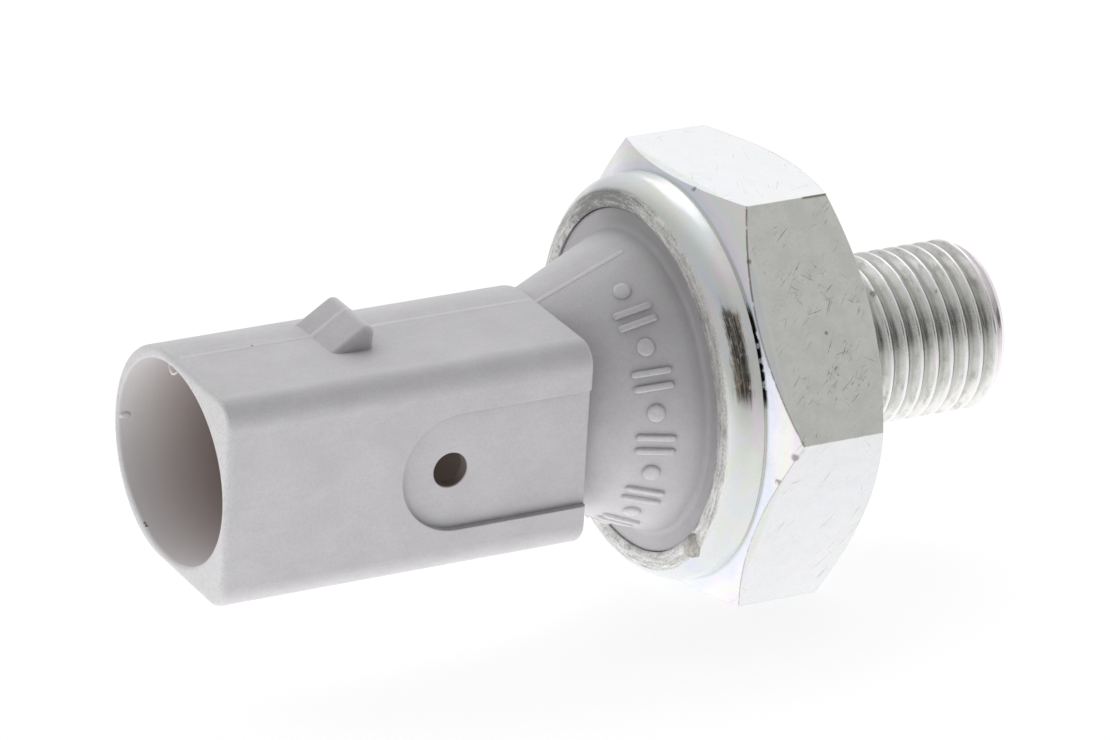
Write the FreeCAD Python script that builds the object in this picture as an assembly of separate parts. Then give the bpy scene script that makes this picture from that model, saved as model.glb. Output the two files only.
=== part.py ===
"""Oil pressure sender of the switch type: an M10 x 1 hexagon body with a one-pin plug housing.

All sizes are millimetres. The axis of the part is X: +X leads along the thread into the engine,
-X out of the plug socket, and +Z is up with two flats of the hexagon level. The origin is the
centre of the seating face, where the hexagon meets the thread.
"""
import FreeCAD, Part
import math
import os

Vector = FreeCAD.Vector
ORIGIN = Vector(0, 0, 0)
AXIS = Vector(1, 0, 0)

# Hexagon, seat and thread
across_flats = 24.0
hex_edge_length = 5.1
hex_chamfer_angle = 30.0
seat_radius = 11.5
thread_radius = 5.0
thread_length = 12.5
thread_end_radius = 4.3
thread_end_chamfer = 0.85
port_radius = 1.5
port_mouth_radius = 2.1

# Cup and rolled rim of the body
cup_radius = 10.9
cup_wall = 0.85
cup_floor_x = -3.6
rim_overlap = 0.9
rim_roll_radius = 1.6
lip_projection = 0.3
chamber_radius = 5.6
chamber_depth = 0.7

# Seals
port_seal_inset = 2.6
port_seal_width = 1.5
port_seal_height = 1.1
housing_seal_width = 1.5
housing_seal_height = 1.25
seal_edge_bevel = 0.35
seal_clearance = 0.05

# Diaphragm foils and contact set
foil_thickness = 0.125
foil_clearance = 0.3
earth_ring_clearance = 0.2
earth_ring_thickness = 1.0
earth_ring_dish = 1.3
earth_ring_dish_radius = 7.2
earth_ring_hole_radius = 2.5
earth_ring_web_slant = 0.8
earth_ring_web_offset = 0.3
thrust_flange_radius = 5.4
thrust_flange_thickness = 0.7
thrust_stem_radius = 2.2
button_radius = 0.65
button_height = 0.3
button_circle_radius = 3.5
button_count = 3
contact_plate_radius = 4.6
contact_plate_thickness = 0.5
contact_plate_boss_radius = 1.9
contact_plate_boss_height = 0.5
contact_plate_boss_taper = 0.2

# Contact spring and its cup
spring_wire = 0.5
spring_mean_radius = 2.45
spring_length = 5.2
spring_turns = 5.5
spring_closed_turns = 1.0
spring_closed_pitch_ratio = 1.05
spring_steps_per_turn = 8
spring_cup_radius = 3.25
spring_cup_wall = 0.3
spring_cup_depth = 1.2

# Terminal
terminal_width = 2.8
terminal_thickness = 0.8
terminal_foot_radius = 3.0
terminal_foot_thickness = 0.8
terminal_tip_x = -32.5
terminal_tip_bevel = 0.28
terminal_tip_bevel_length = 1.1
terminal_tip_corner = 0.5
terminal_lock_hole_radius = 0.6

# Housing: flange and cone
flange_front_x = -9.65
flange_clearance = 0.1
rim_seat_clearance = 0.03
flange_land_clearance = 0.1
cone_base_step = 1.2
cone_top_radius = 5.8
cone_base_fillet = 0.4
spring_bore_radius = 3.4
contact_chamber_radius = 5.4
contact_travel_room = 1.0
dish_clearance = 0.4
join_depth = 0.5

# Housing: plug shroud, a half circle on one side and a flat side on the other
housing_turn = 4.8
shroud_back_x = -16.4
shroud_length = 22.6
shroud_flat_side = 7.3
shroud_radius = 6.2
shroud_circle_y = 0.7
shroud_mouth_wall = 0.5
shroud_upper_corner = 1.4
shroud_lower_corner = 1.5
shroud_end_round = 0.3
socket_rim_round = 0.15
socket_depth = 15.4
socket_draft_angle = 2.5
recess_half_width = 3.55
recess_depth = 0.4
recess_end_x = -24.6
locating_hole_x = -25.0
locating_hole_radius = 1.05

# Housing: latch ramp
ramp_half_width = 2.4
ramp_centre_y = -0.53
ramp_height = 1.3
ramp_back_x = -27.9
ramp_crest_length = 0.6
ramp_slope_length = 2.0
ramp_back_draft = 0.1
ramp_edge_round = 0.4

# Places that follow from the sizes above
corner_radius = across_flats / 2 / math.cos(math.radians(30))
chamfer_slope = math.tan(math.radians(hex_chamfer_angle))
hex_back_x = -(corner_radius - seat_radius) * chamfer_slope
hex_front_x = hex_back_x - hex_edge_length
collar_radius = cup_radius + cup_wall
collar_root_x = hex_front_x - (corner_radius - collar_radius) * chamfer_slope
rim_centre_radius = collar_radius - rim_roll_radius
rim_lip_radius = cup_radius - rim_overlap
lip_front_x = flange_front_x - lip_projection
rim_centre_x = lip_front_x + rim_roll_radius
lip_inner_x = lip_front_x + cup_wall
flange_radius = cup_radius - flange_clearance
flange_land_radius = rim_lip_radius - flange_land_clearance
flange_shoulder_x = lip_inner_x + rim_seat_clearance
cone_base_radius = rim_lip_radius - cone_base_step
port_seal_radius = cup_radius - port_seal_inset
foil_radius = cup_radius - foil_clearance
earth_ring_radius = cup_radius - earth_ring_clearance
foils_front_x = cup_floor_x - 2 * foil_thickness
earth_ring_front_x = foils_front_x - earth_ring_thickness
dish_front_x = earth_ring_front_x - earth_ring_dish
contact_plate_back_x = dish_front_x - button_height
contact_plate_front_x = contact_plate_back_x - contact_plate_thickness
spring_seat_x = contact_plate_front_x - spring_length
spring_cup_back_x = spring_seat_x - spring_cup_wall
terminal_foot_front_x = spring_cup_back_x - terminal_foot_thickness
contact_chamber_x = contact_plate_front_x - contact_travel_room
mouth_x = shroud_back_x - shroud_length
socket_floor_x = mouth_x + socket_depth
socket_near_y = shroud_mouth_wall - shroud_flat_side
socket_far_y = shroud_circle_y + shroud_radius - shroud_mouth_wall
socket_centre_y = (socket_near_y + socket_far_y) / 2
socket_half_width = (socket_far_y - socket_near_y) / 2
socket_half_height = shroud_radius - shroud_mouth_wall
ramp_top_x = ramp_back_x - ramp_crest_length


def revolve(outline):
    """Solid of revolution about the part's axis from (x, radius) corners."""
    points = [Vector(x, radius, 0) for x, radius in outline]
    face = Part.Face(Part.makePolygon(points + [points[0]]))
    return face.revolve(ORIGIN, AXIS, 360)


def disc(x_low, x_high, radius, inner_radius=0.0):
    """Plate or ring between two places on the axis."""
    plate = Part.makeCylinder(radius, x_high - x_low, Vector(x_low, 0, 0), AXIS)
    if inner_radius > 0:
        plate = plate.cut(Part.makeCylinder(inner_radius, x_high - x_low, Vector(x_low, 0, 0), AXIS))
    return plate


def block(x_low, x_high, y_low, y_high, z_low, z_high):
    """Box between two corners."""
    return Part.makeBox(x_high - x_low, y_high - y_low, z_high - z_low, Vector(x_low, y_low, z_low))


def turned_with_housing(solid):
    """The plug housing is crimped in a little turned, so its frame is turned about the axis."""
    turned = solid.copy()
    turned.rotate(ORIGIN, AXIS, housing_turn)
    return turned


def edges_along_axis(solid, y, z):
    """Edges parallel to the axis at a place in the cross-section."""
    found = []
    for edge in solid.Edges:
        ends = [vertex.Point for vertex in edge.Vertexes]
        parallel = len(ends) == 2 and abs(ends[0].x - ends[1].x) > 1.0
        if parallel and all(math.hypot(end.y - y, end.z - z) < 0.01 for end in ends):
            found.append(edge)
    return found


def squeezed_ring(x_low, x_high, radius_low, radius_high):
    """Seal ring with bevelled edges, as it lies when clamped."""
    return revolve([(x_low + seal_edge_bevel, radius_low), (x_low, radius_low + seal_edge_bevel),
                    (x_low, radius_high - seal_edge_bevel), (x_low + seal_edge_bevel, radius_high),
                    (x_high - seal_edge_bevel, radius_high), (x_high, radius_high - seal_edge_bevel),
                    (x_high, radius_low + seal_edge_bevel), (x_high - seal_edge_bevel, radius_low)])


def make_hexagon():
    """Hexagon with a 30 degree chamfer on both ends, two flats level."""
    corners = [math.radians(60 * number) for number in range(6)]
    points = [Vector(collar_root_x, corner_radius * math.cos(angle), corner_radius * math.sin(angle))
              for angle in corners]
    prism = Part.Face(Part.makePolygon(points + [points[0]])).extrude(Vector(-collar_root_x, 0, 0))
    chamfers = revolve([(collar_root_x, 0), (collar_root_x, collar_radius), (hex_front_x, corner_radius),
                        (hex_back_x, corner_radius), (0, seat_radius), (0, 0)])
    return prism.common(chamfers)


def make_thread():
    """Shank of the thread at its major diameter, with the chamfer at its end."""
    return revolve([(cup_floor_x, 0), (cup_floor_x, thread_radius),
                    (thread_length - thread_end_chamfer, thread_radius),
                    (thread_length, thread_end_radius), (thread_length, 0)])


def make_rim():
    """Collar of the cup, rolled over at its front end onto the flange of the housing."""
    diagonal = math.sqrt(0.5)
    outer_start = Vector(rim_centre_x, collar_radius, 0)
    outer_middle = Vector(rim_centre_x - rim_roll_radius * diagonal,
                          rim_centre_radius + rim_roll_radius * diagonal, 0)
    outer_end = Vector(lip_front_x, rim_centre_radius, 0)
    inner_roll = rim_roll_radius - cup_wall
    inner_start = Vector(lip_inner_x, rim_centre_radius, 0)
    inner_middle = Vector(rim_centre_x - inner_roll * diagonal, rim_centre_radius + inner_roll * diagonal, 0)
    inner_end = Vector(rim_centre_x, cup_radius, 0)
    lip_outer = Vector(lip_front_x + (rim_centre_radius - rim_lip_radius), rim_lip_radius, 0)
    lip_inner = Vector(inner_start.x, rim_lip_radius, 0)
    root_inner = Vector(cup_floor_x, cup_radius, 0)
    root_outer = Vector(cup_floor_x, collar_radius, 0)
    edges = [Part.LineSegment(root_outer, outer_start).toShape(),
             Part.Arc(outer_start, outer_middle, outer_end).toShape(),
             Part.LineSegment(outer_end, lip_outer).toShape(),
             Part.LineSegment(lip_outer, lip_inner).toShape(),
             Part.LineSegment(lip_inner, inner_start).toShape(),
             Part.Arc(inner_start, inner_middle, inner_end).toShape(),
             Part.LineSegment(inner_end, root_inner).toShape(),
             Part.LineSegment(root_inner, root_outer).toShape()]
    return Part.Face(Part.Wire(edges)).revolve(ORIGIN, AXIS, 360)


def make_body():
    """Steel body: hexagon, thread, cup, rolled rim, seal groove and pressure port."""
    body = make_hexagon().cut(disc(collar_root_x, cup_floor_x, cup_radius))
    body = body.fuse([make_thread(), make_rim()])
    groove_low = port_seal_radius - port_seal_width / 2 - seal_clearance
    groove_high = port_seal_radius + port_seal_width / 2 + seal_clearance
    groove = disc(cup_floor_x, cup_floor_x + port_seal_height, groove_high, groove_low)
    chamber = disc(cup_floor_x, cup_floor_x + chamber_depth, chamber_radius)
    port = disc(cup_floor_x, thread_length, port_radius)
    mouth_bevel = port_mouth_radius - port_radius
    port_mouth = revolve([(thread_length - mouth_bevel, 0), (thread_length - mouth_bevel, port_radius),
                          (thread_length, port_mouth_radius), (thread_length, 0)])
    return body.cut([groove, chamber, port, port_mouth]).removeSplitter()


def make_earth_ring():
    """Dished ring that clamps the diaphragm and carries the fixed contact face."""
    dish_back_x = foils_front_x - earth_ring_dish
    outer_web_radius = earth_ring_dish_radius + earth_ring_web_offset
    return revolve([(foils_front_x, earth_ring_radius), (foils_front_x, earth_ring_dish_radius),
                    (dish_back_x, earth_ring_dish_radius - earth_ring_web_slant),
                    (dish_back_x, earth_ring_hole_radius), (dish_front_x, earth_ring_hole_radius),
                    (dish_front_x, outer_web_radius - earth_ring_web_slant),
                    (earth_ring_front_x, outer_web_radius), (earth_ring_front_x, earth_ring_radius)])


def make_thrust_piece():
    """Insulating pusher: its flange lies on the diaphragm, its stem lifts the contact plate."""
    flange_front_face = foils_front_x - thrust_flange_thickness
    return revolve([(foils_front_x, 0), (foils_front_x, thrust_flange_radius),
                    (flange_front_face, thrust_flange_radius), (flange_front_face, thrust_stem_radius),
                    (contact_plate_back_x, thrust_stem_radius), (contact_plate_back_x, 0)])


def make_contact_buttons():
    """Silver contact buttons under the moving plate, one solid each."""
    buttons = []
    for number in range(button_count):
        angle = 2 * math.pi * number / button_count
        place = Vector(contact_plate_back_x, button_circle_radius * math.cos(angle),
                       button_circle_radius * math.sin(angle))
        buttons.append(Part.makeCylinder(button_radius, button_height, place, AXIS))
    return Part.makeCompound(buttons)


def make_contact_plate():
    """Moving contact plate with a boss that centres the spring."""
    boss_front_x = contact_plate_front_x - contact_plate_boss_height
    return revolve([(contact_plate_back_x, 0), (contact_plate_back_x, contact_plate_radius),
                    (contact_plate_front_x, contact_plate_radius),
                    (contact_plate_front_x, contact_plate_boss_radius),
                    (boss_front_x, contact_plate_boss_radius - contact_plate_boss_taper),
                    (boss_front_x, 0)])


def make_spring():
    """Compression spring with closed ends, ground flat at its two seats."""
    steps = int(spring_turns * spring_steps_per_turn)
    closed_pitch = spring_wire * spring_closed_pitch_ratio
    open_turns = spring_turns - 2 * spring_closed_turns
    open_pitch = (spring_length - 2 * spring_closed_turns * closed_pitch) / open_turns
    points = []
    x = spring_seat_x
    for step in range(steps + 1):
        turn = step / spring_steps_per_turn
        angle = 2 * math.pi * turn
        points.append(Vector(x, spring_mean_radius * math.cos(angle), spring_mean_radius * math.sin(angle)))
        closed = turn < spring_closed_turns or turn >= spring_turns - spring_closed_turns
        x += (closed_pitch if closed else open_pitch) / spring_steps_per_turn
    path = Part.BSplineCurve()
    path.interpolate(points)
    circle = Part.Circle(points[0], path.tangent(path.FirstParameter)[0], spring_wire / 2)
    section = Part.Wire(circle.toShape())
    coil = Part.Wire(path.toShape()).makePipeShell([section], True, True)
    seats = disc(spring_seat_x, contact_plate_front_x, 2 * spring_mean_radius)
    return coil.common(seats)


def make_spring_cup():
    """Drawn cup that centres the spring under the foot of the terminal."""
    cup = disc(spring_cup_back_x, spring_seat_x + spring_cup_depth, spring_cup_radius)
    hollow = disc(spring_seat_x, spring_seat_x + spring_cup_depth, spring_cup_radius - spring_cup_wall)
    return cup.cut(hollow)


def make_terminal():
    """Flat plug blade with its coined foot, in the housing's own frame."""
    half_width = terminal_width / 2
    half_thickness = terminal_thickness / 2
    blade_profile = [Vector(terminal_foot_front_x, 0, -half_thickness),
                     Vector(terminal_tip_x + terminal_tip_bevel_length, 0, -half_thickness),
                     Vector(terminal_tip_x, 0, -half_thickness + terminal_tip_bevel),
                     Vector(terminal_tip_x, 0, half_thickness - terminal_tip_bevel),
                     Vector(terminal_tip_x + terminal_tip_bevel_length, 0, half_thickness),
                     Vector(terminal_foot_front_x, 0, half_thickness)]
    blade = Part.Face(Part.makePolygon(blade_profile + [blade_profile[0]]))
    blade = blade.extrude(Vector(0, terminal_width, 0))
    blade.translate(Vector(0, -half_width, 0))
    tip_edges = [edge for edge in blade.Edges
                 if all(abs(vertex.Point.x - terminal_tip_x) < 0.01 for vertex in edge.Vertexes)
                 and abs(edge.Vertexes[0].Point.y - edge.Vertexes[-1].Point.y) < 0.01]
    blade = blade.makeChamfer(terminal_tip_corner, tip_edges)
    lock_hole_x = (terminal_foot_front_x + socket_floor_x) / 2
    lock_hole = Part.makeCylinder(terminal_lock_hole_radius, 2 * terminal_thickness,
                                  Vector(lock_hole_x, 0, -terminal_thickness), Vector(0, 0, 1))
    foot = disc(terminal_foot_front_x, spring_cup_back_x, terminal_foot_radius)
    return turned_with_housing(foot.fuse(blade.cut(lock_hole)).removeSplitter())


def make_shroud_block():
    """Plug shroud without its socket: a flat side, a round far side, flats above and below."""
    square_side = block(mouth_x, shroud_back_x, -shroud_flat_side, shroud_circle_y,
                        -shroud_radius, shroud_radius)
    round_side = Part.makeCylinder(shroud_radius, shroud_length, Vector(mouth_x, shroud_circle_y, 0), AXIS)
    shroud = square_side.fuse(round_side).removeSplitter()
    upper_corner = edges_along_axis(shroud, -shroud_flat_side, shroud_radius)
    shroud = shroud.makeFillet(shroud_upper_corner, upper_corner)
    lower_corner = edges_along_axis(shroud, -shroud_flat_side, -shroud_radius)
    shroud = shroud.makeFillet(shroud_lower_corner, lower_corner)
    ends = [edge for edge in shroud.Edges
            if max(vertex.Point.x for vertex in edge.Vertexes) - min(
                vertex.Point.x for vertex in edge.Vertexes) < 0.01]
    return shroud.makeFillet(shroud_end_round, ends)


def socket_section(x, shrink):
    """Oval section of the plug socket at a place along the axis."""
    centre = Vector(x, socket_centre_y, 0)
    long_end = centre + Vector(0, socket_half_width - shrink, 0)
    short_end = centre + Vector(0, 0, socket_half_height - shrink)
    return Part.Wire(Part.Ellipse(long_end, short_end, centre).toShape())


def make_socket():
    """Hollow of the plug socket: an oval that narrows towards its floor by the mould's draft."""
    shrink = socket_depth * math.tan(math.radians(socket_draft_angle))
    return Part.makeLoft([socket_section(mouth_x, 0), socket_section(socket_floor_x, shrink)], True, True)


def make_latch_ramp():
    """Ramp on the top of the shroud: a slope at its front, a steep locking face, rounded ends."""
    sunk = shroud_radius - join_depth
    top = shroud_radius + ramp_height
    foot_x = ramp_top_x - ramp_slope_length * (top - sunk) / ramp_height
    outline = [Vector(foot_x, 0, sunk), Vector(ramp_top_x, 0, top),
               Vector(ramp_back_x, 0, top), Vector(ramp_back_x - ramp_back_draft, 0, sunk)]
    ramp = Part.Face(Part.makePolygon(outline + [outline[0]])).extrude(Vector(0, 2 * ramp_half_width, 0))
    ramp.translate(Vector(0, ramp_centre_y - ramp_half_width, 0))
    outside = [edge for edge in ramp.Edges
               if max(vertex.Point.z for vertex in edge.Vertexes) > sunk + 0.01]
    return ramp.makeFillet(min(ramp_edge_round, ramp_crest_length * 2 / 3), outside)


def make_side_recess():
    """Shallow recess in the flat side, round at its front end and open at the back of the shroud."""
    outer_y = -shroud_flat_side - join_depth
    floor_y = -shroud_flat_side + recess_depth
    slot = block(recess_end_x, shroud_back_x + join_depth, outer_y, floor_y,
                 -recess_half_width, recess_half_width)
    round_end = Part.makeCylinder(recess_half_width, floor_y - outer_y, Vector(recess_end_x, outer_y, 0),
                                  Vector(0, 1, 0))
    return slot.fuse(round_end)


def make_locating_hole():
    """Hole in the recess where a pin held the terminal while the housing was moulded."""
    outer_y = -shroud_flat_side - join_depth
    depth = -terminal_width / 2 - outer_y
    return Part.makeCylinder(locating_hole_radius, depth, Vector(locating_hole_x, outer_y, 0),
                             Vector(0, 1, 0))


def socket_rim_edges(shroud):
    """Closed edge round the mouth of the socket, found by the place where it starts."""
    start = Vector(mouth_x, socket_far_y, 0)
    return [edge for edge in shroud.Edges
            if all(vertex.Point.distanceToPoint(start) < 0.01 for vertex in edge.Vertexes)]


def make_housing(terminal):
    """One-piece moulding: flange, cone, shroud and latch ramp round the moulded-in terminal."""
    flange = revolve([(earth_ring_front_x, 0), (earth_ring_front_x, flange_radius),
                      (rim_centre_x, flange_radius), (flange_shoulder_x, rim_centre_radius),
                      (flange_shoulder_x, flange_land_radius), (flange_front_x, flange_land_radius),
                      (flange_front_x, 0)])
    cone = revolve([(flange_front_x, 0), (flange_front_x, cone_base_radius),
                    (shroud_back_x - join_depth, cone_top_radius), (shroud_back_x - join_depth, 0)])
    base = flange.fuse(cone).removeSplitter()
    base_edges = [edge for edge in base.Edges if edge.Closed
                  and abs(edge.Vertexes[0].Point.x - flange_front_x) < 0.01
                  and abs(edge.Curve.Radius - cone_base_radius) < 0.01]
    base = base.makeFillet(cone_base_fillet, base_edges)
    shroud = make_shroud_block().cut([make_socket(), make_side_recess(), make_locating_hole()])
    shroud = shroud.makeFillet(socket_rim_round, socket_rim_edges(shroud))
    plug = turned_with_housing(shroud.fuse(make_latch_ramp()))
    seal_space = disc(earth_ring_front_x - housing_seal_height, earth_ring_front_x, cup_radius,
                      cup_radius - housing_seal_width - 2 * seal_clearance)
    dish_space = disc(dish_front_x - dish_clearance, earth_ring_front_x,
                      earth_ring_dish_radius + dish_clearance)
    contact_space = disc(contact_chamber_x, dish_front_x, contact_chamber_radius)
    spring_space = disc(spring_cup_back_x, contact_chamber_x, spring_bore_radius)
    foot_space = disc(terminal_foot_front_x, spring_cup_back_x, terminal_foot_radius)
    spaces = [seal_space, dish_space, contact_space, spring_space, foot_space, terminal]
    return base.fuse(plug).cut(spaces).removeSplitter()


def make_parts():
    """Every piece of the sender by its node name."""
    terminal = make_terminal()
    groove_low = port_seal_radius - port_seal_width / 2
    return {
        "hex_body": make_body(),
        "port_seal": squeezed_ring(cup_floor_x, cup_floor_x + port_seal_height,
                                   groove_low, groove_low + port_seal_width),
        "diaphragm_foil": disc(cup_floor_x - foil_thickness, cup_floor_x, foil_radius),
        "backing_foil": disc(foils_front_x, cup_floor_x - foil_thickness, foil_radius),
        "earth_ring": make_earth_ring(),
        "thrust_piece": make_thrust_piece(),
        "contact_buttons": make_contact_buttons(),
        "contact_plate": make_contact_plate(),
        "contact_spring": make_spring(),
        "spring_cup": make_spring_cup(),
        "terminal": terminal,
        "housing_seal": squeezed_ring(earth_ring_front_x - housing_seal_height, earth_ring_front_x,
                                      cup_radius - housing_seal_width - seal_clearance,
                                      cup_radius - seal_clearance),
        "housing": make_housing(terminal),
    }


def main():
    os.makedirs("parts", exist_ok=True)
    for name, shape in make_parts().items():
        shape.exportStep("parts/" + name + ".step")
        box = shape.BoundBox
        print(name, "valid", shape.isValid(), "solids", len(shape.Solids), "volume %.1f" % shape.Volume,
              "x %.2f to %.2f" % (box.XMin, box.XMax))


main()
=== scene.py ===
import math
import random
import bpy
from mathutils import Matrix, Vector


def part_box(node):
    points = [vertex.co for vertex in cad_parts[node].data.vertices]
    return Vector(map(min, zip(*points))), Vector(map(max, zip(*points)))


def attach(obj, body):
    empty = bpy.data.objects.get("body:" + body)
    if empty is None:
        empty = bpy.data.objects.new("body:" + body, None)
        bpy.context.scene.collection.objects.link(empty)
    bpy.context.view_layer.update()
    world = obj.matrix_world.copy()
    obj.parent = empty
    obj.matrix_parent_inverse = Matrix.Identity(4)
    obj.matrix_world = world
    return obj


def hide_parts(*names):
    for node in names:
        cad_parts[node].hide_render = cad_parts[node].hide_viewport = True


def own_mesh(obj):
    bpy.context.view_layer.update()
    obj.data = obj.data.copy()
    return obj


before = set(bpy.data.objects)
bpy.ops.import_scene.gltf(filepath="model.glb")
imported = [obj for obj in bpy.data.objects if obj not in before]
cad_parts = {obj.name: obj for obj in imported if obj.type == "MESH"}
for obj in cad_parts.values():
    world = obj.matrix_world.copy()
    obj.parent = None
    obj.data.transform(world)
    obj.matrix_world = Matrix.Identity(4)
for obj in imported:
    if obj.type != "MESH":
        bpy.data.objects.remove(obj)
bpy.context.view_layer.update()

from types import SimpleNamespace

import bmesh
import bpy
from mathutils import Matrix, Vector

# Units: sizes below are millimetres in the row frame, and meshes are made in metres
MM = 0.001
SWITCH_BODY = "switch"

# Places read from the frame
body_low, body_high = (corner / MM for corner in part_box("hex_body"))
spring_low, spring_high = (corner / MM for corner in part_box("contact_spring"))
across_flats = body_high.z - body_low.z
thread_end_x = body_high.x
lip_front_x = body_low.x
mouth_x = (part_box("housing")[0] / MM).x
spring_seat_x, spring_top_x = spring_low.x, spring_high.x

# Steel body: the sizes of the solid that it stands for
corner_radius = across_flats / 2 / math.cos(math.radians(30))
chamfer_slope = math.tan(math.radians(30))
seat_radius = 11.5
hex_edge_length = 5.1
collar_radius = 11.75
hex_back_x = -(corner_radius - seat_radius) * chamfer_slope
hex_front_x = hex_back_x - hex_edge_length
root_x = hex_front_x - (corner_radius - collar_radius) * chamfer_slope
root_groove_depth = 0.06
cup_radius = 10.9
cup_floor_x = -3.6
cup_wall = 0.85
rim_roll_radius = 1.6
lip_radius = 10.0
lip_reach = 0.07
groove_low_radius, groove_high_radius, groove_depth = 7.5, 9.1, 1.1
chamber_radius, chamber_depth = 5.6, 0.7
port_radius, port_mouth_radius = 1.5, 2.1
thread_radius = 5.0
thread_pitch = 1.0
thread_depth = 0.6
thread_phase = 0.07
thread_crest = 0.06
thread_fade_start, thread_fade_end = 0.2, 1.5
thread_chamfer_length, thread_end_radius = 0.85, 4.3
columns = 336
rows_per_pitch = 16

# Plug housing: the frame in which its details are placed
housing_turn = math.radians(4.8)
shroud_back_x = -16.4
shroud_top = 6.2
ramp_back_x, ramp_crest_length, ramp_slope_length, ramp_height = -27.9, 0.6, 2.0, 1.3
ramp_edge_round, ramp_back_lean = 0.4, 3.2
cone_top_x, cone_top_radius = -16.9, 5.8
cone_base_x, cone_base_radius = -9.65, 8.8
cone_slope = (cone_base_radius - cone_top_radius) / (cone_base_x - cone_top_x)

# Mould traces on the housing, in its own frame
parting_y, parting_half_width, parting_height = -0.21, 0.19, 0.02
mark_middle_x, mark_first_angle, mark_step_angle, mark_count = -12.4, 117, 14.0, 11
pip_radius, bar_half_length, bar_half_width, bar_shift = 0.5, 1.15, 0.18, 0.42
mark_levels = [(-0.15, 1.0), (0.10, 1.0), (0.17, 0.84), (0.20, 0.5)]
flash_first_x, flash_last_x, flash_steps, flash_half_width = -14.6, -10.6, 26, 0.09
flash_least_rise, flash_extra_rise, flash_lean = 0.16, 0.38, 0.06
flash_tag = [(-38.90, -0.62, 5.60), (-38.95, -0.42, 5.40), (-38.93, -0.10, 5.30), (-38.90, 0.22, 5.42),
             (-38.88, 0.42, 5.62)]
flash_tag_half = 0.05
nub_place, nub_half_length, nub_half_width = (-38.55, 6.36, 0), 0.36, 0.20
nub_levels = [(-0.2, 1.0), (0.01, 1.0), (0.06, 0.8), (0.08, 0.45)]

# Torn tab on the lip: its place, its outline round the lip and outward, and its levels
burr_angle, burr_radius, burr_x = math.radians(-135.8), 10.7, -9.85
burr_outline = [(-0.85, -0.40), (-0.50, -0.02), (-0.08, 0.42), (0.42, 0.52), (0.74, 0.14), (0.60, -0.34),
                (0.12, -0.60), (-0.42, -0.62)]
burr_levels = [(-0.35, 1.0), (0.10, 1.0), (0.34, 0.86), (0.44, 0.5)]

# Contact spring
spring_wire, spring_mean_radius, spring_turns, closed_turns = 0.5, 2.45, 5.5, 1.0
spring_steps_per_turn, wire_sides = 28, 12

# Camera: where the photograph was taken from, and the width of its picture on a 36 mm sensor
camera_place = Vector((-207.487, -350.430, 146.430))
camera_forward = Vector((0.453132, 0.823682, -0.340909))
camera_up = Vector((0.152203, 0.305322, 0.940007))
focal_pixels = 7533.2
picture_width = 1110
sensor_width = 36.0

# Light from round about: grey at the sides, brighter behind, dark where the photographer stands
SIDE_LEVEL, BRIGHT_LEVEL = 0.56, 0.31
BRIGHT_DIRECTION = Vector((0.46, 0.59, 0.66)).normalized()
DARK_DIRECTION = Vector((-0.16, -0.92, 0.34)).normalized()
DARK_SHARE = 0.82
# The same for diffuse light, which the lamps of the studio spread wider
SOFT_DARK_DIRECTION = Vector((-0.35, -0.80, 0.48)).normalized()
SOFT_LEVEL, SOFT_DARK_SHARE, SOFT_LOW_SHARE = 1.22, 0.92, 0.73

# White table: its size in metres, its glow as it lights, is seen and is mirrored, and how that fades
FLOOR_SIZE = 3.0
TABLE_GLOW, TABLE_GLOW_SEEN, TABLE_GLOW_MIRRORED = 0.85, 0.78, 1.10
TABLE_FADE_LENGTH, TABLE_FADE_BASE, TABLE_FRONT_SHARE = 0.035, 0.37, 0.54
TABLE_BEHIND_START, TABLE_BEHIND_END = -0.008, 0.025
TABLE_BEHIND_SHARE, TABLE_BEHIND_MIRRORED_SHARE = 0.35, 0.74
TABLE_PLAIN_SEEN, TABLE_PLAIN_MIRRORED = 0.55, 0.85

# Marks on the steel body: places of nicks and dark spots with their radii
NICKS = [((-7.42, -2.64, 11.91), 0.26), ((-7.14, -8.47, 9.33), 0.22), ((-6.73, -13.37, -0.76), 0.36),
         ((-7.19, -12.34, -2.46), 0.28), ((-3.41, -10.81, 5.27), 0.16), ((4.3, -3.03, 3.98), 0.34),
         ((4.7, -2.75, 4.2), 0.22), ((8.3, -3.46, 3.61), 0.20)]
SCRATCHED_PLACES = [((-4.04, -9.52, 7.51), 2.2), ((-0.66, -9.95, 6.77), 1.6), ((-2.53, -11.97, 3.26), 2.6),
                    ((-5.2, -12.4, 2.2), 1.2)]
# Hair scratches: turn in degrees, place in the noise, and the level above which they show
HAIR_SCRATCHES = [(38, 0.0, 0.73), (-32, 9.0, 0.76), (60, 17.0, 0.74), (8, 41.0, 0.76), (-55, 53.0, 0.77),
                  (47, 71.0, 0.745)]
PINK_PLACES = [(-7.55, 4.96, 10.89), (-7.57, -6.76, -9.83)]
# Place round which the lip is darker
DARKER_LIP_PLACE = (-9.9, 3.5, 9.7)
SCUFF_X, SCUFF_LOW_Z, SCUFF_HIGH_Z = -8.85, 2.4, 7.0
# Heights between which painted shade darkens the crevice at the collar's root
CREVICE_LOW_Z, CREVICE_HIGH_Z = 1.9, 7.0

# Where the hexagon's flats begin: distance from the axis, and distance out towards the front flat
FLATS_RADIUS, FRONT_FLAT_LEVEL = 11.95, 11.93

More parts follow.
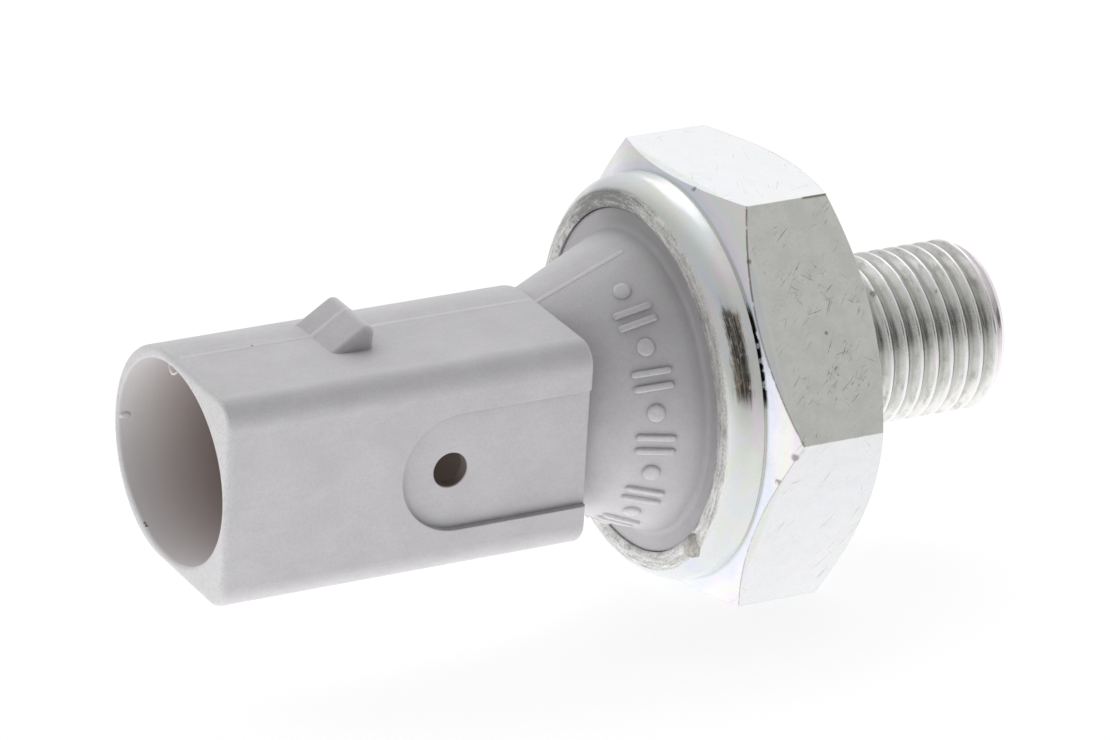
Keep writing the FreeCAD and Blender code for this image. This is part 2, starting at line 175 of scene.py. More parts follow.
# Colours of the steel body, and colour ramps as places and colours
PLATING_TINTS = [(0.30, (0.76, 0.77, 0.86)), (0.42, (0.76, 0.82, 0.80)), (0.50, (0.80, 0.80, 0.84)),
                 (0.58, (0.78, 0.82, 0.75)), (0.70, (0.84, 0.77, 0.82))]
CHAMFER_TINTS = [(0.05, (0.84, 0.88, 1.0)), (0.30, (1.0, 0.93, 1.0)), (0.50, (0.92, 0.98, 0.94)),
                 (0.70, (0.98, 0.98, 0.88)), (0.90, (0.98, 0.92, 0.98))]
FLANK_STAINS = [(0.34, (0.42, 0.42, 0.38)), (0.46, (0.72, 0.75, 0.69)), (0.62, (0.84, 0.86, 0.82))]
LIP_TONES = [(0.34, (0.20, 0.19, 0.175)), (0.47, (0.62, 0.61, 0.59)), (0.60, (0.96, 0.95, 0.93))]
PINK, CLOUDED = (0.98, 0.70, 0.76), (0.62, 0.63, 0.62)
FLAT_ZINC, FRONT_FLAT_ZINC = (0.90, 0.90, 0.93), (0.905, 0.915, 0.845)
VEIL, PORES = (0.66, 0.68, 0.62), (0.55, 0.57, 0.52)
# Painted highlight for the thread's crests, and painted shade for its valleys
THREAD_CREST_HIGHLIGHT, VALLEY_SHADE = (0.99, 0.92, 0.95), (0.38, 0.40, 0.36)
BURNT_BLACK, BURNT_BROWN, BURNT_GRAINS = (0.035, 0.026, 0.020), (0.40, 0.28, 0.15), (0.86, 0.80, 0.70)
# The first colour is painted shade for the crevice at the collar's root; the second is brown dirt along
# edges
CREVICE_SHADE, EDGE_BROWN = (0.02, 0.02, 0.018), (0.27, 0.19, 0.13)
SCRATCH_GREY, NICK_GREY = (0.16, 0.15, 0.12), (0.16, 0.14, 0.12)

# Marks and colours on the housing, in its own frame
SPECKS = [((-34.13, -0.17, 6.2), 0.11), ((-38.86, -7.2, 5.7), 0.12), ((-38.84, 2.62, -5.12), 0.13),
          ((-38.86, 2.80, -5.02), 0.13), ((-38.9, -3.37, 5.1), 0.10)]
SOCKET_CENTRE_Y, SOCKET_HALF_WIDTH, SOCKET_HALF_HEIGHT = -0.2, 6.6, 5.7
SOCKET_START_X, SOCKET_SHADE_DEPTH = -22.0, 11.0
# Colours inside the socket: painted light near the mouth, fading to brown painted shade deep inside
SOCKET_LIGHT_TO_SHADE = [(0.0, (0.97, 0.96, 0.96)), (0.16, (0.86, 0.82, 0.82)), (0.50, (0.54, 0.45, 0.43)),
                 (1.0, (0.24, 0.18, 0.15))]
PLASTIC_LOW, PLASTIC_HIGH = (0.682, 0.666, 0.684), (0.733, 0.718, 0.738)
# The third colour here, for the rim, is a painted highlight on the mouth of the socket
PLASTIC_GRAIN, PLASTIC_STREAKS, PLASTIC_RIM_HIGHLIGHT = (0.40, 0.39, 0.39), (0.90, 0.89, 0.90), (0.86, 0.85, 0.86)
PLASTIC_SHADE, SPECK_BROWN = (0.22, 0.215, 0.22), (0.12, 0.095, 0.08)
# Reach and share of the painted shade in the housing's creases
CREASE_SHADE_REACH, CREASE_SHADE_SHARE = 2.4, 0.48


def housing_point(x, y, z):
    """Point of the turned housing's own frame in the row frame."""
    cosine, sine = math.cos(housing_turn), math.sin(housing_turn)
    return Vector((x, y * cosine - z * sine, y * sine + z * cosine))


def cone_radius(x):
    """Radius of the housing's cone at a place along the axis."""
    return cone_top_radius + (x - cone_top_x) * cone_slope


def append_mesh(points, faces, more_points, more_faces):
    """Points and faces of one more closed form, added to a piece."""
    offset = len(points)
    points += more_points
    faces += [tuple(index + offset for index in face) for face in more_faces]


def new_piece(name, points, faces, material, smooth_angle=35.0):
    """Mesh piece from points in millimetres, riding on the body of the switch."""
    mesh = bpy.data.meshes.new(name)
    mesh.from_pydata([tuple(Vector(point) * MM) for point in points], [], faces)
    mesh.validate()
    piece = bpy.data.objects.new(name, mesh)
    bpy.context.scene.collection.objects.link(piece)
    shade_by_angle(mesh, smooth_angle)
    mesh.materials.append(material)
    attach(piece, SWITCH_BODY)
    return piece


def shade_by_angle(mesh, angle):
    """Smooth faces with their outward side out, and edges left sharp above an angle in degrees."""
    work = bmesh.new()
    work.from_mesh(mesh)
    bmesh.ops.recalc_face_normals(work, faces=work.faces)
    limit = math.radians(angle)
    for face in work.faces:
        face.smooth = True
    for edge in work.edges:
        edge.smooth = len(edge.link_faces) == 2 and edge.calc_face_angle(0.0) < limit
    work.to_mesh(mesh)
    work.free()


class Nodes:
    """A material's or world's node tree, with one short call for each kind of node."""

    def __init__(self, owner):
        owner.use_nodes = True
        self.tree = owner.node_tree
        self.tree.nodes.clear()

    def add(self, kind, inputs=(), output=0, **settings):
        node = self.tree.nodes.new(kind)
        for name, value in settings.items():
            setattr(node, name, value)
        for name, value in dict(inputs).items():
            socket = node.inputs[name]
            if isinstance(value, bpy.types.NodeSocket):
                self.tree.links.new(value, socket)
            else:
                socket.default_value = value
        return node.outputs[output] if output is not None else node

    def math(self, operation, first, second=0.0, third=0.0, clamp=False):
        return self.add("ShaderNodeMath", {0: first, 1: second, 2: third},
                        operation=operation, use_clamp=clamp)

    def range(self, value, low, high, low_out=0.0, high_out=1.0, smooth=True):
        return self.add("ShaderNodeMapRange", {"Value": value, "From Min": low, "From Max": high,
                                               "To Min": low_out, "To Max": high_out},
                        interpolation_type="SMOOTHSTEP" if smooth else "LINEAR")

    def mix(self, share, first, second, blend="MIX"):
        node = self.add("ShaderNodeMix", output=None, data_type="RGBA", blend_type=blend)
        for index, value in ((0, share), (6, first), (7, second)):
            if isinstance(value, bpy.types.NodeSocket):
                self.tree.links.new(value, node.inputs[index])
            elif index == 0:
                node.inputs[index].default_value = value
            else:
                node.inputs[index].default_value = (*value, 1.0)
        return node.outputs[2]

    def tint(self, colour, tone, mask, share=1.0):
        """Colour mixed towards a tone by a share of a mask."""
        return self.mix(self.math("MULTIPLY", mask, share), colour, tone)

    def noise(self, vector, scale, detail=3.0, roughness=0.55, distortion=0.0):
        return self.add("ShaderNodeTexNoise", {"Vector": vector, "Scale": scale, "Detail": detail,
                                               "Roughness": roughness, "Distortion": distortion})

    def ramp(self, value, stops):
        node = self.add("ShaderNodeValToRGB", {"Fac": value}, output=None)
        ramp = node.color_ramp
        while len(ramp.elements) < len(stops):
            ramp.elements.new(0.5)
        for element, (place, colour) in zip(ramp.elements, stops):
            element.position = place
            element.color = (*colour, 1.0)
        return node.outputs[0]

    def place(self):
        """Place on the object, in millimetres of the row frame."""
        raw = self.add("ShaderNodeTexCoord", output=3)
        return self.add("ShaderNodeVectorMath", {0: raw, "Scale": 1 / MM}, operation="SCALE")

    def combine(self, x, y, z):
        return self.add("ShaderNodeCombineXYZ", {0: x, 1: y, 2: z})

    def split(self, vector):
        node = self.add("ShaderNodeSeparateXYZ", {0: vector}, output=None)
        return node.outputs[0], node.outputs[1], node.outputs[2]

    def spot(self, vector, centre, inner, outer):
        """One within inner of a centre, falling to nothing at outer."""
        distance = self.add("ShaderNodeVectorMath", {0: vector, 1: tuple(centre)}, output=1,
                            operation="DISTANCE")
        return self.range(distance, inner, outer, 1.0, 0.0)

    def band(self, value, low, high, edge):
        """One between two values, with soft edges."""
        rise = self.range(value, low - edge, low + edge)
        fall = self.range(value, high - edge, high + edge, 1.0, 0.0)
        return self.math("MULTIPLY", rise, fall)

    def bump(self, height, distance, strength=1.0, normal=None):
        inputs = {"Height": height, "Distance": distance * MM, "Strength": strength}
        if normal is not None:
            inputs["Normal"] = normal
        return self.add("ShaderNodeBump", inputs)

    def soft_edges(self, radius):
        return self.add("ShaderNodeBevel", {"Radius": radius * MM}, samples=6)

    def above(self, value, level, edge):
        """One above a level, with a soft edge."""
        return self.range(value, level - edge, level + edge)

    def root_of_squares(self, first, second):
        squares = self.math("ADD", self.math("MULTIPLY", first, first),
                            self.math("MULTIPLY", second, second))
        return self.math("SQRT", squares)

    def product(self, *factors):
        result = factors[0]
        for factor in factors[1:]:
            result = self.math("MULTIPLY", result, factor)
        return result

    def largest(self, *values):
        result = values[0]
        for value in values[1:]:
            result = self.math("MAXIMUM", result, value)
        return result

    def finish(self, shader):
        self.add("ShaderNodeOutputMaterial", {"Surface": shader}, output=None)


def principled(nodes, inputs):
    shader = nodes.add("ShaderNodeBsdfPrincipled", inputs)
    nodes.finish(shader)


def new_material(name):
    material = bpy.data.materials.new(name)
    return material, Nodes(material)


def around(nodes, place):
    """Place along the axis, distance from it, and a vector that runs round the axis without a seam."""
    x, y, z = nodes.split(place)
    radius = nodes.root_of_squares(y, z)
    ring_y = nodes.math("DIVIDE", y, radius)
    ring_z = nodes.math("DIVIDE", z, radius)
    return x, y, z, radius, ring_y, ring_z


def ring_vector(nodes, parts, across, along):
    """Coordinates for noise that is drawn out round the axis, as turning leaves it."""
    x, y, z, radius, ring_y, ring_z = parts
    depth = nodes.math("MULTIPLY", nodes.math("ADD", x, radius), across)
    return nodes.combine(depth, nodes.math("MULTIPLY", ring_y, along), nodes.math("MULTIPLY", ring_z, along))


def steel_places(nodes):
    """Coordinates and masks that the finish of the steel body is laid out by."""
    place = nodes.place()
    parts = around(nodes, place)
    x, y, z, radius = parts[:4]
    to_front_flat = nodes.math("ADD", nodes.math("MULTIPLY", y, -math.cos(math.radians(30))),
                               nodes.math("MULTIPLY", z, 0.5))
    flats = nodes.product(nodes.band(x, -6.9, -0.4, 0.2), nodes.above(radius, FLATS_RADIUS, 0.05))
    chamfer_x = nodes.math("MULTIPLY_ADD", radius, chamfer_slope,
                           hex_front_x - corner_radius * chamfer_slope)
    return SimpleNamespace(
        place=place, parts=parts, x=x, y=y, z=z, radius=radius,
        front=nodes.range(y, -2.0, -4.0),
        to_front_flat=to_front_flat,
        flats=flats,
        front_flat=nodes.product(nodes.above(to_front_flat, FRONT_FLAT_LEVEL, 0.03), flats),
        past_chamfer=nodes.math("SUBTRACT", x, chamfer_x),
        shank=nodes.product(nodes.range(radius, 5.3, 5.15), nodes.above(x, 0.25, 0.1)),
        lip=nodes.product(nodes.range(radius, 11.15, 10.85), nodes.range(x, -9.0, -9.25)),
        cloud=nodes.noise(place, 0.8, 4.0, 0.6))


def plating_colour(nodes, at):
    """Faint rainbow tints, veiled and pored flats, and the coloured bands of the front chamfer."""
    shimmer = nodes.noise(ring_vector(nodes, at.parts, 0.42, 2.4), 1.0, 2.0, 0.5, 0.8)
    colour = nodes.ramp(shimmer, PLATING_TINTS)
    pink = nodes.largest(*[nodes.spot(at.place, centre, 1.0, 2.9) for centre in PINK_PLACES])
    pink = nodes.product(pink, nodes.band(at.past_chamfer, -0.3, 0.05, 0.03),
                         nodes.band(at.radius, FLATS_RADIUS, 12.25, 0.1))
    colour = nodes.tint(colour, PINK, pink, 0.8)
    colour = nodes.tint(colour, CLOUDED, at.cloud, 0.12)
    colour = nodes.tint(colour, FLAT_ZINC, at.flats, 0.75)
    colour = nodes.tint(colour, FRONT_FLAT_ZINC, at.front_flat, 0.7)
    stretched = nodes.combine(nodes.math("MULTIPLY", at.x, 0.9), nodes.math("MULTIPLY", at.y, 0.5), at.z)
    veil = nodes.range(nodes.noise(stretched, 1.0, 5.0, 0.62), 0.40, 0.62)
    veil_share = nodes.math("MULTIPLY_ADD", at.front_flat, 0.18, 0.10)
    colour = nodes.tint(colour, VEIL, nodes.product(at.flats, veil), veil_share)
    pores = nodes.range(nodes.noise(at.place, 8.0, 3.0, 0.7), 0.46, 0.62)
    colour = nodes.tint(colour, PORES, nodes.product(at.flats, pores), 0.13)
    chamfer = nodes.product(nodes.above(at.radius, 11.8, 0.05), nodes.range(at.past_chamfer, 0.05, 0.02),
                            nodes.above(at.past_chamfer, -0.1, 0.05))
    bands = nodes.math("MULTIPLY_ADD", nodes.noise(at.place, 0.35, 2.0, 0.5), 1.1,
                       nodes.range(at.radius, 11.8, 13.6, -0.55, 0.45))
    return nodes.tint(colour, nodes.ramp(bands, CHAMFER_TINTS), chamfer, 0.8)


def thread_colour(nodes, at, colour):
    """Rosy tint and painted highlight on the thread's crests, grey-green stains on its flanks and painted
    shade in its valleys.
    """
    before_end = nodes.range(at.x, thread_end_x - 0.7, thread_end_x - thread_chamfer_length)
    flank = nodes.product(at.shank, nodes.range(at.radius, 4.985, 4.92), before_end)
    valley = nodes.product(at.shank, nodes.range(at.radius, 4.74, 4.5), before_end)
    stains = nodes.ramp(nodes.noise(ring_vector(nodes, at.parts, 1.6, 4.0), 1.0, 4.0, 0.65), FLANK_STAINS)
    # Painted highlight on the crests; the flanks get stains and the valleys painted shade
    colour = nodes.tint(colour, THREAD_CREST_HIGHLIGHT, at.shank, 0.7)
    colour = nodes.tint(colour, stains, flank, 0.6)
    return nodes.tint(colour, VALLEY_SHADE, valley, 0.62)


def lip_colour(nodes, at, colour, sand):
    """Sandy tones of the rough lip, darker round one place on it."""
    darkened = nodes.math("MULTIPLY", nodes.spot(at.place, DARKER_LIP_PLACE, 1.0, 7.0), 0.16)
    return nodes.tint(colour, nodes.ramp(nodes.math("SUBTRACT", sand, darkened), LIP_TONES), at.lip, 0.8)


def scuff_mask(nodes, at):
    """Ragged rub on the front of the collar, drawn out along the turning."""
    rub = nodes.noise(ring_vector(nodes, at.parts, 5.5, 4.5), 1.0, 4.0, 0.7)
    rub = nodes.math("MULTIPLY_ADD", nodes.noise(at.place, 1.6, 2.0, 0.5), 0.35,
                     nodes.math("MULTIPLY", rub, 0.75))
    scuff = nodes.product(nodes.band(at.x, SCUFF_X - 0.55, SCUFF_X + 0.5, 0.25), at.front,
                          nodes.band(at.z, SCUFF_LOW_Z - 0.3, SCUFF_HIGH_Z + 0.3, 0.9),
                          nodes.above(at.radius, 11.1, 0.1))
    return nodes.product(scuff, nodes.above(nodes.math("MULTIPLY_ADD", scuff, 0.30, rub), 0.76, 0.10))


def scuff_colour(nodes, at, colour, scuff):
    """Burnt black and brown blotches of the rub, with bright grains."""
    blotches = nodes.above(nodes.noise(ring_vector(nodes, at.parts, 4.2, 2.2), 1.0, 3.0, 0.6), 0.56, 0.03)
    grains = nodes.above(nodes.noise(ring_vector(nodes, at.parts, 6.0, 16.0), 1.0, 3.0, 0.7), 0.60, 0.03)
    burnt = nodes.tint(nodes.mix(blotches, BURNT_BLACK, BURNT_BROWN), BURNT_GRAINS, grains, 0.75)
    return nodes.tint(colour, burnt, scuff, 0.9)


def crevice_shade_mask(nodes, at):
    """Painted shade as a dark line at the root of the collar, broken where glints show, and faint painted
    shade all round the root.
    """
    root = nodes.product(nodes.band(at.x, root_x - 0.10, root_x + 0.07, 0.04),
                         nodes.band(at.radius, 11.5, 12.0, 0.1))
    glints = nodes.range(nodes.noise(at.place, 2.0, 2.0, 0.5), 0.58, 0.53)
    dark = nodes.product(root, at.front, nodes.band(at.z, CREVICE_LOW_Z, CREVICE_HIGH_Z, 0.5), glints)
    return nodes.largest(dark, nodes.math("MULTIPLY", root, 0.10))


def edge_dirt_mask(nodes, at):
    """Brown line along the edges of the front flat and the chamfer."""
    noise = nodes.noise(at.place, 2.4, 4.0, 0.6)
    on_front_flat = nodes.above(at.to_front_flat, FRONT_FLAT_LEVEL, 0.02)
    chamfer_edge = nodes.product(nodes.range(at.past_chamfer, 0.07, 0.02), on_front_flat,
                                 nodes.range(at.z, 5.2, 8.0, 0.5, 1.0), at.front,
                                 nodes.above(noise, 0.42, 0.06), nodes.above(at.radius, 11.9, 0.05))
    top_edge = nodes.product(nodes.above(at.to_front_flat, FRONT_FLAT_LEVEL, 0.03),
                             nodes.above(at.z, 11.90, 0.04), nodes.band(at.x, -2.9, -0.7, 0.15),
                             nodes.above(noise, 0.36, 0.05))
    low_edge = nodes.product(nodes.range(at.past_chamfer, 0.14, 0.05), at.front, nodes.range(at.z, 1.0, 0.0),
                             nodes.above(at.radius, 12.0, 0.02), nodes.above(at.past_chamfer, 0.03, 0.01),
                             nodes.range(noise, 0.35, 0.6, 0.15, 0.7))
    return nodes.largest(chamfer_edge, top_edge, low_edge)


def scratch_mask(nodes, at):
    """Hair scratches on the flats: the peaks of noises that are drawn out one way each."""
    often = nodes.largest(*[nodes.spot(at.place, centre, reach * 0.4, reach)
                            for centre, reach in SCRATCHED_PLACES])
    often = nodes.product(often, nodes.range(nodes.noise(at.place, 1.1, 3.0, 0.6), 0.36, 0.54))
    up_flat = nodes.math("MULTIPLY_ADD", at.y, 0.5, nodes.math("MULTIPLY", at.z, math.cos(math.radians(30))))
    hair = 0.0
    for turn, shift, commonness in HAIR_SCRATCHES:
        cosine, sine = math.cos(math.radians(turn)), math.sin(math.radians(turn))
        along = nodes.math("MULTIPLY_ADD", at.x, cosine, nodes.math("MULTIPLY", up_flat, sine))
        across = nodes.math("MULTIPLY_ADD", at.x, -sine, nodes.math("MULTIPLY", up_flat, cosine))
        strokes = nodes.noise(nodes.combine(nodes.math("MULTIPLY", along, 0.6),
                                            nodes.math("MULTIPLY", across, 11.0), shift), 1.0, 1.5, 0.4, 0.5)
        strokes = nodes.math("MULTIPLY_ADD", often, 0.07, strokes)
        hair = nodes.math("MAXIMUM", hair, nodes.above(strokes, commonness, 0.02))
    faint = nodes.range(nodes.noise(at.place, 2.6, 2.0, 0.5), 0.38, 0.60, 0.30, 1.0)
    return nodes.product(hair, at.flats, nodes.math("MULTIPLY_ADD", at.front_flat, 0.28, 0.38), faint)


def nick_mask(nodes, at):
    """Ragged nicks and dark spots."""
    nicks = nodes.largest(*[nodes.spot(at.place, centre, reach * 0.35, reach) for centre, reach in NICKS])
    return nodes.product(nicks, nodes.above(nodes.noise(at.place, 4.5, 3.0, 0.6), 0.42, 0.05))


def zinc_material():
    """Bright zinc plating: a pale metal with faint rainbow tints, a rough lip, dirt and scratches, a painted
    highlight on the thread's crests, and painted shade in its valleys and in the crevice at the collar's
    root.
    """
    material, nodes = new_material("zinc_plating")
    at = steel_places(nodes)
    turned = nodes.noise(ring_vector(nodes, at.parts, 5.2, 7.0), 1.0, 4.0, 0.7)
    sand = nodes.math("MULTIPLY_ADD", nodes.noise(at.place, 7.0, 5.0, 0.7), 0.4,
                      nodes.math("MULTIPLY", turned, 0.6))
    scuff, edge_dirt = scuff_mask(nodes, at), edge_dirt_mask(nodes, at)

    colour = plating_colour(nodes, at)
    colour = thread_colour(nodes, at, colour)
    colour = lip_colour(nodes, at, colour, sand)
    colour = scuff_colour(nodes, at, colour, scuff)
    # Painted shade in the crevice at the collar's root
    colour = nodes.tint(colour, CREVICE_SHADE, crevice_shade_mask(nodes, at))
    colour = nodes.tint(colour, EDGE_BROWN, edge_dirt, 0.75)
    colour = nodes.tint(colour, SCRATCH_GREY, scratch_mask(nodes, at))
    colour = nodes.tint(colour, NICK_GREY, nick_mask(nodes, at), 0.65)

    roughness = nodes.range(at.cloud, 0.3, 0.7, 0.20, 0.30)
    for mask, level in ((at.flats, 0.36), (at.shank, 0.21), (at.lip, 0.5), (scuff, 0.45), (edge_dirt, 0.6)):
        roughness = nodes.largest(roughness, nodes.math("MULTIPLY", mask, level))
    turning = nodes.noise(ring_vector(nodes, at.parts, 3.2, 3.0), 1.0, 4.0, 0.65)
    off_thread = nodes.math("MULTIPLY", nodes.above(at.radius, 5.3, 0.1), 0.35)
    normal = nodes.soft_edges(0.08)
    normal = nodes.bump(sand, 0.10, nodes.math("MULTIPLY", at.lip, 0.9), normal)
    normal = nodes.bump(turning, 0.012, off_thread, normal)
    normal = nodes.bump(at.cloud, 0.015, 0.2, normal)
    principled(nodes, {"Base Color": colour, "Metallic": 1.0, "Roughness": roughness, "Normal": normal})
    return material


def shade_hollows(nodes, at, colour, inside):
    """Painted shade in the creases of the housing, and a painted shadow on its cone where the lip hangs over
    it, darker towards the top.
    """
    # Painted shade where ambient occlusion finds a crease, with less of it inside the socket
    crease_shade = nodes.add("ShaderNodeAmbientOcclusion", {"Distance": CREASE_SHADE_REACH * MM}, output=1, samples=6)
    crease_shade = nodes.range(crease_shade, 0.40, 0.97, CREASE_SHADE_SHARE, 0.0, smooth=False)
    outside = nodes.math("SUBTRACT", 1.0, nodes.math("MULTIPLY", inside, 0.75))
    colour = nodes.tint(colour, PLASTIC_SHADE, crease_shade, outside)
    # Painted shadow of the lip on the flange round the cone's base, on the near side, darker towards the top
    from_axis = nodes.root_of_squares(at.own_y, at.own_z)
    lip_shadow = nodes.product(nodes.above(from_axis, cone_base_radius, 0.5),
                              nodes.above(at.own_x, cone_base_x - 0.8, 0.3),
                              nodes.range(at.y, 6.0, 1.0), nodes.range(at.z, -6.0, 5.0, 0.16, 0.62))
    return nodes.tint(colour, PLASTIC_SHADE, lip_shadow)


def plastic_material(name, edge, mouth_edge, highlight_gain=1.0, shaded=True):
    """Grey moulded plastic: satin, slightly mottled, with a few specks. Inside the socket, painted light
    near the mouth fades to brown painted shade deeper in. The mouth's rim has a painted highlight, creases
    get painted shade when shaded, and a gain above one makes a lighter copy as painted light.
    """
    material, nodes = new_material(name)
    place = nodes.place()
    x, y, z = nodes.split(place)
    own = nodes.add("ShaderNodeMapping", {"Vector": place, "Rotation": (-housing_turn, 0.0, 0.0)})
    own_x, own_y, own_z = nodes.split(own)
    at = SimpleNamespace(y=y, z=z, own_x=own_x, own_y=own_y, own_z=own_z)

    cloud = nodes.noise(place, 0.32, 4.0, 0.55)
    # A gain above one gives a lighter copy of the moulding: painted light
    low, high = (tuple(share * highlight_gain for share in tone) for tone in (PLASTIC_LOW, PLASTIC_HIGH))
    colour = nodes.ramp(cloud, [(0.35, low), (0.65, high)])
    fine = nodes.noise(place, 6.5, 4.0, 0.7)
    colour = nodes.mix(nodes.range(fine, 0.38, 0.56, 0.13, 0.0), colour, PLASTIC_GRAIN)
    drawn = nodes.noise(nodes.combine(nodes.math("MULTIPLY", x, 0.25), y, z), 2.4, 4.0, 0.65)
    colour = nodes.mix(nodes.range(drawn, 0.46, 0.66, 0.0, 0.10), colour, PLASTIC_STREAKS)

    # Painted light near the socket's mouth, fading to painted shade deeper in
    across = nodes.math("MULTIPLY", nodes.math("SUBTRACT", own_y, SOCKET_CENTRE_Y), 1 / SOCKET_HALF_WIDTH)
    above = nodes.math("MULTIPLY", own_z, 1 / SOCKET_HALF_HEIGHT)
    oval = nodes.math("ADD", nodes.math("MULTIPLY", across, across), nodes.math("MULTIPLY", above, above))
    inside = nodes.product(nodes.range(oval, 1.03, 1.008),
                           nodes.range(own_x, SOCKET_START_X, SOCKET_START_X - 1.0))
    depth = nodes.range(own_x, mouth_x, mouth_x + SOCKET_SHADE_DEPTH, smooth=False)
    colour = nodes.tint(colour, nodes.ramp(depth, SOCKET_LIGHT_TO_SHADE), inside, 0.9)
    # Painted highlight on the rim of the socket's mouth
    rim = nodes.product(nodes.range(own_x, mouth_x + 0.45, mouth_x + 0.1),
                        nodes.range(fine, 0.35, 0.6, 0.25, 0.75))
    colour = nodes.tint(colour, PLASTIC_RIM_HIGHLIGHT, rim)
    if shaded:
        colour = shade_hollows(nodes, at, colour, inside)
    specks = nodes.largest(*[nodes.spot(place, housing_point(*centre), reach * 0.5, reach)
                             for centre, reach in SPECKS])
    colour = nodes.tint(colour, SPECK_BROWN, specks, 0.85)

    roughness = nodes.range(fine, 0.3, 0.7, 0.46, 0.58)
    edge_radius = nodes.range(own_x, mouth_x + 1.2, mouth_x + 0.4, edge * MM, mouth_edge * MM)
    soft = nodes.add("ShaderNodeBevel", {"Radius": edge_radius}, samples=6)
    normal = nodes.bump(fine, 0.022, 0.6, soft)
    normal = nodes.bump(cloud, 0.03, 0.25, normal)
    principled(nodes, {"Base Color": colour, "Roughness": roughness, "Normal": normal,
                       "Specular IOR Level": 0.4})
    return material


def inner_material(name, low, high, metallic, roughness, scale, edge=0.05):
    """Plain finish for a piece inside the switch: two tones, a fine grain and soft edges."""
    material, nodes = new_material(name)
    place = nodes.place()
    grain = nodes.noise(place, scale, 5.0, 0.6)
    colour = nodes.ramp(grain, [(0.3, low), (0.7, high)])
    rough = nodes.range(grain, 0.3, 0.7, roughness - 0.06, roughness + 0.08)
    normal = nodes.bump(grain, 0.02, 0.4, nodes.soft_edges(edge))
    principled(nodes, {"Base Color": colour, "Metallic": metallic, "Roughness": rough, "Normal": normal})
    return material


def arc_points(centre_x, centre_radius, radius, start, end, steps):
    """Points (x, radius) on an arc between two angles in degrees, both ends included."""
    return [(centre_x + radius * math.cos(math.radians(start + (end - start) * step / steps)),
             centre_radius + radius * math.sin(math.radians(start + (end - start) * step / steps)))
            for step in range(steps + 1)]


def straight_points(start, end, steps):
    """Points between two corners, without the last one."""
    return [(start[0] + (end[0] - start[0]) * step / steps, start[1] + (end[1] - start[1]) * step / steps)
            for step in range(steps)]


def smooth_step(value, low, high):
    share = min(1.0, max(0.0, (value - low) / (high - low)))
    return share * share * (3 - 2 * share)


def thread_surface(x, angle):
    """Radius of the right-hand thread at a place along the axis and an angle round it."""
    phase = (x - thread_phase) / thread_pitch - angle / math.tau
    from_crest = abs(phase - round(phase))
    flank = max(0.0, from_crest - thread_crest) / math.tan(math.radians(30)) * thread_pitch
    depth = thread_depth * (1 - math.exp(-((flank / thread_depth) ** 1.5) * 1.6))
    depth *= smooth_step(x, thread_fade_start, thread_fade_end)
    chamfer_start = thread_end_x - thread_chamfer_length
    chamfer_drop = (thread_radius - thread_end_radius) / thread_chamfer_length
    chamfer = thread_radius - max(0.0, x - chamfer_start) * chamfer_drop
    return min(thread_radius - depth, chamfer)


def hexagon_radius(angle):
    """Distance from the axis to the hexagon's outline."""
    from_flat = math.remainder(angle - math.radians(30), math.radians(60))
    return across_flats / 2 / math.cos(from_flat)


def steel_profile(angle):
    """Closed outline (x, radius) of the steel body's section at an angle round the axis."""
    flat_radius = hexagon_radius(angle)
    back_edge = (hex_back_x + (corner_radius - flat_radius) * chamfer_slope, flat_radius)
    front_edge = (hex_front_x - (corner_radius - flat_radius) * chamfer_slope, flat_radius)
    rim_centre_radius = collar_radius - rim_roll_radius
    rim_centre_x = lip_front_x + rim_roll_radius
    groove_floor_x = cup_floor_x + groove_depth
    thread_rows = int(thread_end_x / thread_pitch * rows_per_pitch)
    points = [(cup_floor_x, cup_radius), (cup_floor_x, groove_high_radius),
              (groove_floor_x, groove_high_radius), (groove_floor_x, groove_low_radius),
              (cup_floor_x, groove_low_radius), (cup_floor_x, chamber_radius),
              (cup_floor_x + chamber_depth, chamber_radius), (cup_floor_x + chamber_depth, port_radius),
              (thread_end_x - (port_mouth_radius - port_radius), port_radius),
              (thread_end_x, port_mouth_radius)]
    for row in range(thread_rows + 1):
        x = thread_end_x * (1 - row / thread_rows)
        points.append((x, thread_surface(x, angle)))
    points += straight_points((0.0, thread_radius + 0.4), (0.0, seat_radius), 3)
    points += straight_points((0.0, seat_radius), back_edge, 3)
    points += straight_points(back_edge, front_edge, 5)
    points += straight_points(front_edge, (root_x, collar_radius), 5)
    points += [(root_x, collar_radius - root_groove_depth),
               (root_x - root_groove_depth, collar_radius - root_groove_depth),
               (root_x - 2 * root_groove_depth, collar_radius)]
    points += arc_points(rim_centre_x, rim_centre_radius, rim_roll_radius, 90, 180, 18)
    lip_bevel = rim_centre_radius - lip_radius
    lip_end = lip_radius - lip_reach
    points += [(lip_front_x + lip_bevel, lip_end), (lip_front_x + cup_wall, lip_end)]
    points += arc_points(rim_centre_x, rim_centre_radius, rim_roll_radius - cup_wall, 180, 90, 5)
    return points


def make_steel_body(material):
    """Hexagon, threaded shank, cup and rolled rim as one closed mesh, a section for each column."""
    points, faces = [], []
    for column in range(columns):
        angle = math.tau * column / columns
        outline = steel_profile(angle)
        points += [(x, radius * math.cos(angle), radius * math.sin(angle)) for x, radius in outline]
    rows = len(points) // columns
    for column in range(columns):
        this, following = column * rows, (column + 1) % columns * rows
        for row in range(rows):
            after = (row + 1) % rows
            faces.append((this + row, following + row, following + after, this + after))
    piece = new_piece("steel_body", points, faces, material, 38.0)
    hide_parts("hex_body")
    return piece


